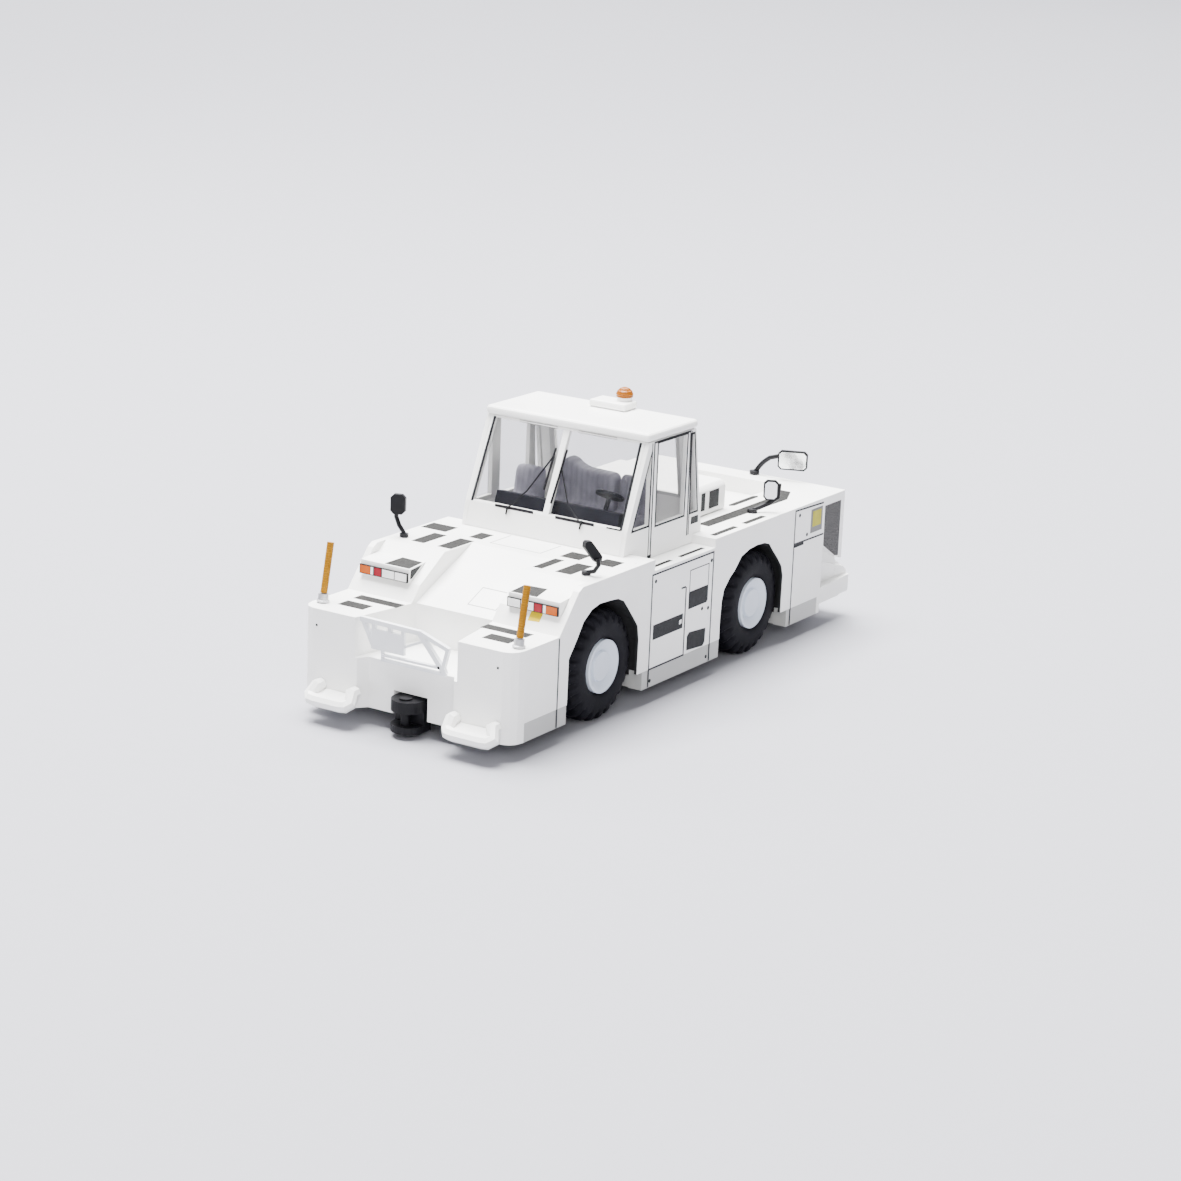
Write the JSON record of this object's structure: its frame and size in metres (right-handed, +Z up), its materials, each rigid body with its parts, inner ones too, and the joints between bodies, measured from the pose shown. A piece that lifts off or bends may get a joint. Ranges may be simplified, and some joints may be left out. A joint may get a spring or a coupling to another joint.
{
  "type": "scale model of an aircraft pushback tractor",
  "caption": "Small die-cast display model of a low, wide airport pushback tractor with a glazed cab, front and rear tow hitches, steps, marker poles and free-rolling wheels.",
  "frame": {"origin": "centre of the wheels' contact plane: midway across the body and midway between the foremost and rearmost points, on the ground", "axes": "+X to the vehicle's left, -Y to the front, +Z up"},
  "size_m": [0.0165, 0.0446, 0.019],
  "materials": {
    "body_enamel": "semi-gloss white enamel",
    "base_plastic": "satin grey moulding",
    "tyre_rubber": "matt black soft plastic",
    "rim_plastic": "pale blue-grey satin",
    "steel": "bright plated",
    "black_plastic": "satin black",
    "seat_plastic": "satin dark grey",
    "glazing": "clear moulded plastic",
    "beacon_amber": "glossy amber",
    "pole_yellow": "orange-yellow",
    "socket_grey": "satin grey",
    "lattice_grey": "satin light grey",
    "lamp_white": "glossy, printed"
  },
  "bodies": {
    "tractor": {"base_plate": "base_plastic", "base_screw_front": "steel", "base_screw_rear": "steel", "beacon": "beacon_amber", "beacon_base": "body_enamel", "body_casting": "body_enamel", "cab_floor": "seat_plastic", "cab_front": "body_enamel", "cab_rear": "body_enamel", "cab_roof": "body_enamel", "cab_side_left": "body_enamel", "cab_side_right": "body_enamel", "dashboard": "black_plastic", "driver_seat": "seat_plastic", "engine_cover": "body_enamel", "front_hitch_jaw": "black_plastic", "front_hitch_pin": "steel", "front_lattice": "lattice_grey", "front_mirror_left": "black_plastic", "front_mirror_right": "black_plastic", "front_step_left": "body_enamel", "front_step_right": "body_enamel", "lamp_housing_left": "body_enamel", "lamp_housing_right": "body_enamel", "lamp_lens_left": "lamp_white", "lamp_lens_right": "lamp_white", "marker_pole_left": "pole_yellow", "marker_pole_right": "pole_yellow", "middle_seat": "seat_plastic", "passenger_seat": "seat_plastic", "pole_socket_left": "socket_grey", "pole_socket_right": "socket_grey", "rear_bumper": "body_enamel", "rear_hitch_jaw": "black_plastic", "rear_hitch_pin": "steel", "rear_mirror_left": "black_plastic", "rear_mirror_right": "black_plastic", "rear_window": "glazing", "side_glazing_left": "glazing", "side_glazing_right": "glazing", "steering_column": "black_plastic", "steering_wheel": "black_plastic", "windscreen": "glazing"},
    "front_wheelset": {"front_axle": "steel", "rim_front_left": "rim_plastic", "rim_front_right": "rim_plastic", "tyre_front_left": "tyre_rubber", "tyre_front_right": "tyre_rubber"},
    "rear_wheelset": {"rear_axle": "steel", "rim_rear_left": "rim_plastic", "rim_rear_right": "rim_plastic", "tyre_rear_left": "tyre_rubber", "tyre_rear_right": "tyre_rubber"}
  },
  "joints": [
    {"name": "front_wheels_roll", "type": "hinge", "parent": "tractor", "child": "front_wheelset", "pos_m": [0, -0.01006, 0.00373], "axis": [1, 0, 0], "continuous": true},
    {"name": "rear_wheels_roll", "type": "hinge", "parent": "tractor", "child": "rear_wheelset", "pos_m": [0, 0.00895, 0.00373], "axis": [1, 0, 0], "continuous": true}
  ]
}
